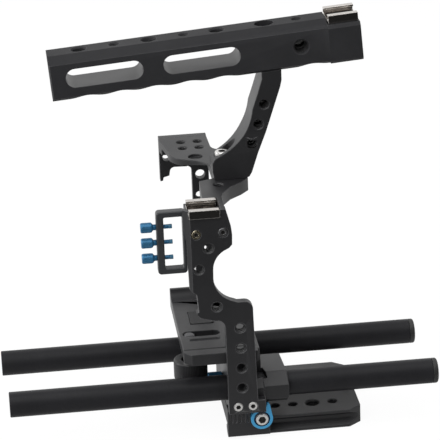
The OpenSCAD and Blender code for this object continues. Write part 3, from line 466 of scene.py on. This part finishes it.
# the socket's faces, which take the painted shade: those near the axis and below its top
spot = put(cap_screw, "ShaderNodeSeparateXYZ",
    {0: put(cap_screw, "GeometryNodeInputPosition").outputs[0]})
from_axis = put(cap_screw, "ShaderNodeVectorMath", {0: put(cap_screw, "ShaderNodeCombineXYZ",
    {0: spot.outputs[0], 1: spot.outputs[1]}).outputs[0]}, operation="LENGTH")
within = times(cap_screw, from_axis.outputs["Value"], times(cap_screw, start["Key"], 0.6),
    "LESS_THAN")
above = times(cap_screw, spot.outputs[2], times(cap_screw, start["Head Height"], 0.3),
    "GREATER_THAN")
below = times(cap_screw, spot.outputs[2], times(cap_screw, start["Head Height"], 0.98),
    "LESS_THAN")
marked = put(cap_screw, "GeometryNodeStoreNamedAttribute", {"Geometry": socket.outputs[0],
    "Name": "in_socket", "Value": times(cap_screw, times(cap_screw, within, above), below)},
    data_type="BOOLEAN", domain="FACE")
whole = put(cap_screw, "GeometryNodeJoinGeometry")
for part in (shank, marked.outputs[0]):
    cap_screw.links.new(part, whole.inputs[0])
set_out(cap_screw, start, whole.outputs[0])

m3_screw = {"Shank Radius": 1.5, "Shank Length": 8.0, "Head Radius": 2.75, "Head Height": 2.6,
    "Chamfer": 0.35, "Key": 2.5, "Knurl": 0.06}
m3_sunk = 2.6  # the depth of an M3 head's seat
zinc = finish("zinc_plate", (0.80, 0.79, 0.77), 0.3, metallic=0.7, edge_wear_and_highlight=(0.9, 0.9, 0.89), wear_and_highlight_amount=0.5,
    grain=0.12, relief=0.004, vary=0.08)
dull_zinc = finish("dull_zinc", (0.36, 0.36, 0.37), 0.28, metallic=1.0, edge_wear_and_highlight=(0.7, 0.7, 0.7),
    wear_and_highlight_amount=0.6, grain=0.12, relief=0.004)
foot_screws, head_screw = [(132.8, -5.3), (141.4, -5.3)], (127.6, 104.9)
made_from(cap_screw, "side_foot_screws", m3_screw,
    [(at(x, side_out + m3_sunk, z), to_near) for x, z in foot_screws], zinc, "cage",
    ["side_plate_screws"])
made_from(cap_screw, "side_head_screw", m3_screw,
    [(at(head_screw[0], side_out + m3_sunk, head_screw[1]), to_near)], dull_zinc, "cage")
leg_out, leg_screws = 87, [(107.4, 115), (128.5, 115), (128.15, 18)]
leg_foot_screw = (127, 45.2, 15)
made_from(cap_screw, "grip_leg_cap_screws", m3_screw,
    [(at(x, leg_out - m3_sunk, z), to_far) for x, z in leg_screws]
    + [(at(*leg_foot_screw), to_floor)], dull_zinc, "cage", ["grip_leg_screws"])
tripod_top, tripod_thick, stop_ends = -18.9, 11.1, (133.5, 203)
made_from(cap_screw, "stop_screws", {**m3_screw, "Shank Length": 5.0, "Head Height": 1.8},
    [(at(x, 0, tripod_top), to_top) for x in stop_ends], zinc, "tripod_plate_body",
    ["plate_stop_screws"])

# ---- Bridge and grip leg ----
# The bridge joins the two sides over the camera and carries the handle's arm; it is milled from
# the solid and has five tapped holes. The grip leg is screwed to its far end, and the leg's foot
# is screwed to the leg and under the base plate.

bridge_top = 119
four_taps = [(116, 61.3), (116, 72.6), (126.1, 61.3), (126.1, 72.6)]
near_tap = (130.2, -7)
machined("bridge", black_anodised, edge=0.4,
    sinks=[(at(x, y, bridge_top), to_top, quarter_mouth) for x, y in four_taps + [near_tap]])
tapped("bridge_thin_threads", quarter, 2.7,
    [(at(x, y, bridge_top - quarter_lead), to_top) for x, y in four_taps], "cage")
tapped("bridge_near_thread", quarter, 6.8, [(at(*near_tap, bridge_top - quarter_lead), to_top)],
    "cage")
leg_taps = [(127.2, 80.2), (128.1, 60), (128.1, 44)]
machined("grip_leg", black_anodised, edge=0.4,
    sinks=[(at(x, leg_out, z), to_far, quarter_mouth) for x, z in leg_taps])
tapped("grip_leg_threads", quarter, 3.8,
    [(at(x, leg_out - quarter_lead, z), to_far) for x, z in leg_taps], "cage")
machined("leg_foot", black_anodised, edge=0.4)

# ---- Camera base ----
# The plate that the camera sits on, held to the rod clamp by two countersunk screws. A rubber pad
# stops the camera turning, and its 1/4 inch screw rides in the slot, guided by a collar.

machined("base_plate", black_anodised, edge=0.4)
machined("base_screws", zinc, edge=0.15)
pad_rubber = finish("pad_rubber", (0.02, 0.02, 0.021), 0.6, edge_wear_and_highlight=(0.06, 0.06, 0.06), grain=0.5,
    relief=0.05, specular=0.4)
machined("anti_twist_pad", pad_rubber, edge=0.3)

camera_x, slot_y, screw_top, knurl_top = 108.8, -12, 27.4, 11.1
dark_steel = finish("dark_steel", (0.09, 0.09, 0.095), 0.35, metallic=0.8, edge_wear_and_highlight=(0.3, 0.3, 0.3),
    wear_and_highlight_amount=0.5, grain=0.12, relief=0.004)
machined("screw_collar", zinc, edge=0.25)
machined("screw_washer", zinc, edge=0.12)
machined("camera_screw", dark_steel, edge=0.2)
made_from(thread, "camera_screw_thread", {**quarter, "Radius": 2.95, "Length": 4.6},
    [(at(camera_x, slot_y, screw_top), to_top)], dark_steel, "camera_screw_body")
machined("camera_knob", black_anodised, edge=0.25)

# Straight knurling: thin bars round a knob, from the point back along its axis
knurling, start = size_tree("knurling", ("Radius", "Length", "Bar"), ("Count",))
ring = put(knurling, "GeometryNodeMeshCircle", {"Vertices": start["Count"],
    "Radius": start["Radius"]})
spot = put(knurling, "GeometryNodeInputPosition")
facing = put(knurling, "FunctionNodeAlignRotationToVector", {"Vector": spot.outputs[0]}, axis="X")
tooth = put(knurling, "GeometryNodeMeshCylinder", {"Vertices": 4, "Radius": start["Bar"],
    "Depth": start["Length"]})
teeth = put(knurling, "GeometryNodeInstanceOnPoints", {"Points": ring.outputs[0],
    "Instance": tooth.outputs[0], "Rotation": facing.outputs[0]})
teeth = put(knurling, "GeometryNodeRealizeInstances", {0: teeth.outputs[0]})
set_out(knurling, start, shift_up(knurling, teeth.outputs[0],
    times(knurling, start["Length"], -0.5)))
made_from(knurling, "camera_knob_grip", {"Radius": 9.75, "Length": 10.0, "Bar": 0.3, "Count": 64},
    [(at(camera_x, slot_y, knurl_top), to_top)], black_anodised, "camera_screw_body")

# ---- Rod clamp and rods ----
# The clamp's body carries the cage on two 15 mm tubes 60 mm apart, which are black anodised and
# have plastic plugs. The blue knob in front turns a cam that presses a brass shoe on each rod.


def dressed(node, paint):
    """A CAD solid whose shape is right, in its finish."""
    frame["nodes"][node].data.materials.clear()
    frame["nodes"][node].data.materials.append(paint)


machined("rod_clamp_body", black_anodised, edge=0.5)
rod_black = finish("rod_black", (0.017, 0.017, 0.019), 0.4, edge_wear_and_highlight=(0.12, 0.12, 0.13), wear_and_highlight_amount=0.4,
    grain=0.3, relief=0.004, stretch=(1, 0.12, 0.12), specular=0.15)
plug_black = finish("plug_black", (0.02, 0.02, 0.02), 0.5, edge_wear_and_highlight=(0.06, 0.06, 0.06), grain=0.4,
    relief=0.02)
for which in ("near", "far"):
    machined(which + "_rod", rod_black, edge=0.5)
    machined(which + "_rod_plugs", plug_black, edge=0.2)
brass = finish("machined_brass", (0.70, 0.55, 0.27), 0.3, metallic=1.0, edge_wear_and_highlight=(0.85, 0.72, 0.42),
    wear_and_highlight_amount=0.5, grain=0.3, relief=0.006, stretch=(0.1, 1, 1))
dressed("near_brake_shoe", brass)
dressed("far_brake_shoe", brass)
blue_anodised = finish("blue_anodised", (0.028, 0.15, 0.30), 0.34, metallic=0.5,
    edge_wear_and_highlight=(0.3, 0.56, 0.72), wear_and_highlight_amount=0.8, grain=0.2, relief=0.006)
machined("rod_lock_knob", blue_anodised, edge=0.15)
to_front, to_back = Vector((-1, 0, 0)), Vector((1, 0, 0))
lock_knurl = at(120.4, 0, -9)
made_from(knurling, "rod_lock_knob_grip", {"Radius": 5.05, "Length": 7.6, "Bar": 0.22,
    "Count": 40}, [(lock_knurl, to_front)], blue_anodised, "rod_lock")
dressed("rod_lock_shaft", zinc)

# ---- Quick release ----
# The jaw slides on two pins and grips the tripod plate's groove. The bright blue lever turns a
# screw that draws it in. The plate has 1/4 and 3/8 inch holes for the tripod.

machined("clamp_jaw", black_anodised, edge=0.25)
dressed("jaw_pins", zinc)
bright_blue = finish("bright_blue", (0.06, 0.36, 0.66), 0.3, metallic=0.25,
    edge_wear_and_highlight=(0.5, 0.74, 0.92), wear_and_highlight_amount=0.9, edge=0.4, grain=0.25, relief=0.004)
# a dark navy that paints the shade in the lever's counterbore
painted_shade_blue = finish("painted_shade_blue", (0.01, 0.03, 0.08), 0.4, metallic=0.25, edge_wear_and_highlight=(0.1, 0.2, 0.3))
lever_x, lever_z, lever_front, screw_seat = 147, -16.6, -42.6, -41.3
counterbore, skin_depth = 4.75, 0.1
lever = machined("lock_lever", bright_blue, edge=0.45)
lever.data.materials.append(painted_shade_blue)
lever_face = at(lever_x, lever_front, lever_z)
for face in lever.data.polygons:
    # the wall and the floor of the counterbore round the screw's head take a painted shade of dark
    # blue
    away = face.center - lever_face
    if Vector((away.x, 0, away.z)).length < counterbore * mm and away.y > skin_depth * mm:
        face.material_index = 1
made_from(cap_screw, "lever_cap_screw", {"Shank Radius": 2.0, "Shank Length": 17.0,
    "Head Radius": 3.7, "Head Height": 2.6, "Chamfer": 0.5, "Key": 4.0, "Knurl": 0.08},
    [(at(lever_x, screw_seat, lever_z), to_near)], zinc, "lever", ["lever_screw"])
tap_rows = (-20.7, 20.7)
small_holes = [(x, y) for x in (157.3, 168.1, 192.1) for y in tap_rows]
wide_holes = [(179.8, y) for y in tap_rows]
machined("tripod_plate", black_anodised, edge=0.4,
    sinks=[(at(*hole, tripod_top), to_top, quarter_mouth) for hole in small_holes]
    + [(at(*hole, tripod_top), to_top, wide_mouth) for hole in wide_holes])
tapped("tripod_quarter_threads", quarter, tripod_thick - 1.6,
    [(at(*hole, tripod_top - quarter_lead), to_top) for hole in small_holes], "tripod_plate_body")
tapped("tripod_wide_threads", three_eighths, tripod_thick - 1.8,
    [(at(*hole, tripod_top - wide_lead), to_top) for hole in wide_holes], "tripod_plate_body")

# ---- Side cold shoe ----
# A shoe for an accessory, machined from brass and bright nickel plated, with its ends open. Two
# small countersunk screws hold it on the bridge's seat.

nickel = finish("nickel_plate", (0.56, 0.53, 0.50), 0.12, metallic=1.0, edge_wear_and_highlight=(0.85, 0.84, 0.8),
    wear_and_highlight_amount=0.6, grain=0.5, relief=0.004, vary=0.07, stretch=(0.1, 1, 1))
machined("side_shoe", nickel, edge=0.3)
machined("side_shoe_screws", zinc, edge=0.1)

# ---- Cable clamp ----
# A frame that swings on a screw through the side plate. Three blue thumbscrews press nylon tips on
# the cables that pass through its window.

grey_anodised = finish("grey_anodised", (0.030, 0.032, 0.035), 0.4, edge_wear_and_highlight=(0.2, 0.2, 0.2), wear_and_highlight_amount=0.5)
machined("cable_clamp_frame", grey_anodised, edge=0.8, steps=3)
yellow_zinc = finish("yellow_zinc", (0.62, 0.54, 0.38), 0.24, metallic=1.0,
    edge_wear_and_highlight=(0.85, 0.82, 0.7), wear_and_highlight_amount=0.6, grain=0.12, relief=0.004)
pivot_x, pivot_z = 112.2, 104.6
made_from(cap_screw, "clamp_pivot_screw", {**m3_screw, "Shank Length": 11.0},
    [(at(pivot_x, side_out + m3_sunk, pivot_z), to_near)], yellow_zinc, "cage",
    ["cable_clamp_screw"])
machined("cable_clamp_nut", zinc, edge=0.2)
tip_nylon = finish("tip_nylon", (0.03, 0.13, 0.22), 0.45, edge_wear_and_highlight=(0.1, 0.24, 0.34), grain=0.3,
    relief=0.01)
thumb_y, thumb_top, thumb_pitch = -39.5, 108, 9.4
thumb_knurl, thumb_end = 82.1, 97.0
for i in range(3):
    number, z = str(i + 1), thumb_top - i * thumb_pitch
    machined("thumb_screw_" + number, blue_anodised, edge=0.12)
    made_from(knurling, "thumb_grip_" + number, {"Radius": 2.82, "Length": 4.8, "Bar": 0.13,
        "Count": 36}, [(at(thumb_knurl, thumb_y, z), to_front)], blue_anodised, "thumb_" + number)
    made_from(thread, "thumb_thread_" + number, {"Radius": 1.2, "Length": 6.8, "Pitch": 0.45,
        "Ridge": 0.12}, [(at(thumb_end, thumb_y, z), to_back)], blue_anodised, "thumb_" + number)
    machined("clamp_tip_" + number, tip_nylon, edge=0.12)

# ---- Arm and handle ----
# The arm stands on the bridge, held by an M5 screw through its foot. The handle lies on its top. It
# is milled from the solid with finger hollows, two long slots and tapped holes, and ends in a cold
# shoe.

# the arm widens upwards, so each tap has its own mouth and length: (x, y of the mouth, z)
arm_taps = [(158.8, -3.2, 164.7), (155.1, -3.2, 152.7), (151.2, -1.5, 140.4)]
arm_middle = 7.5
machined("handle_arm", black_anodised, edge=0.4,
    sinks=[(at(*tap), to_near, quarter_mouth) for tap in arm_taps])
for name, (x, y, z) in zip(("top", "middle", "low"), arm_taps):
    tapped("arm_thread_" + name, quarter, 2 * (arm_middle - y - quarter_lead),
        [(at(x, y + quarter_lead, z), to_near)], "handle")
m5_screw = {"Shank Radius": 2.5, "Head Radius": 4.25, "Head Height": 4.6, "Chamfer": 0.5,
    "Key": 4.0, "Knurl": 0.08}
arm_seat = at(134.4, arm_middle, 129.85)
made_from(cap_screw, "arm_cap_screw", {**m5_screw, "Shank Length": 16.5}, [(arm_seat, to_top)],
    zinc, "cage", ["arm_screw"])
machined("arm_washer", zinc, edge=0.12)

handle_tilt = radians(4.2)
handle_x, handle_y, handle_z = 37.5, -4.5, 176.05  # its front lower corner on the near side
half_width, handle_height = 12, 25


def on_handle(x, y, z):
    """A place along the handle, from its front lower corner on the near side."""
    return at(handle_x + x * cos(handle_tilt) - z * sin(handle_tilt), handle_y + y,
        handle_z + x * sin(handle_tilt) + z * cos(handle_tilt))


handle_up = Vector((-sin(handle_tilt), 0, cos(handle_tilt)))
handle_taps, wide_taps, side_tap = (39, 79.2, 145), (18.6, 59, 98.4), (145, 0, 11.6)
handle_black = finish("handle_black", (0.024, 0.024, 0.026), 0.55, edge_wear_and_highlight=(0.15, 0.15, 0.155),
    wear_and_highlight_amount=0.5, specular=0.15)
milled_black = finish("milled_black", (0.022, 0.022, 0.024), 0.36, edge_wear_and_highlight=(0.15, 0.15, 0.155),
    wear_and_highlight_amount=0.4, grain=0.5, stretch=(0.1, 1, 1))
handle = machined("handle_grip", handle_black, edge=0,
    sinks=[(on_handle(x, half_width, handle_height), handle_up, quarter_mouth)
        for x in handle_taps]
    + [(on_handle(x, half_width, handle_height), handle_up, wide_mouth) for x in wide_taps]
    + [(on_handle(*side_tap), to_near, wide_mouth)])
handle.data.materials.append(milled_black)
# the slots were milled through after the blasting, so their walls are smoother. From slot_middle,
# the walls reach slot_reach across, slot_half up and down, and slot_end to the back.
slot_middle = on_handle(92, half_width, 11.6)
slot_reach, slot_half, slot_end = 11.9, 5.7, 20
for face in handle.data.polygons:
    away = slot_middle - face.center
    if (abs(away.y) < slot_reach * mm and abs(away.dot(handle_up)) < slot_half * mm
            and away.x > -slot_end * mm):
        face.material_index = 1
tapped("handle_quarter_threads", quarter, 6.6,
    [(on_handle(x, half_width, handle_height - quarter_lead), handle_up) for x in handle_taps],
    "handle")
tapped("handle_wide_threads", three_eighths, 7.2,
    [(on_handle(x, half_width, handle_height - wide_lead), handle_up) for x in wide_taps],
    "handle")
tapped("handle_side_thread", three_eighths, 22.0,
    [(on_handle(side_tap[0], wide_lead, side_tap[2]), to_near)], "handle")
handle_seat = on_handle(126, half_width, 11)
made_from(cap_screw, "handle_cap_screw", {**m5_screw, "Shank Length": 21.0},
    [(handle_seat, handle_up)], zinc, "handle", ["handle_screw"])
machined("handle_shoe", nickel, edge=0.3)
machined("handle_shoe_screws", zinc, edge=0.1)
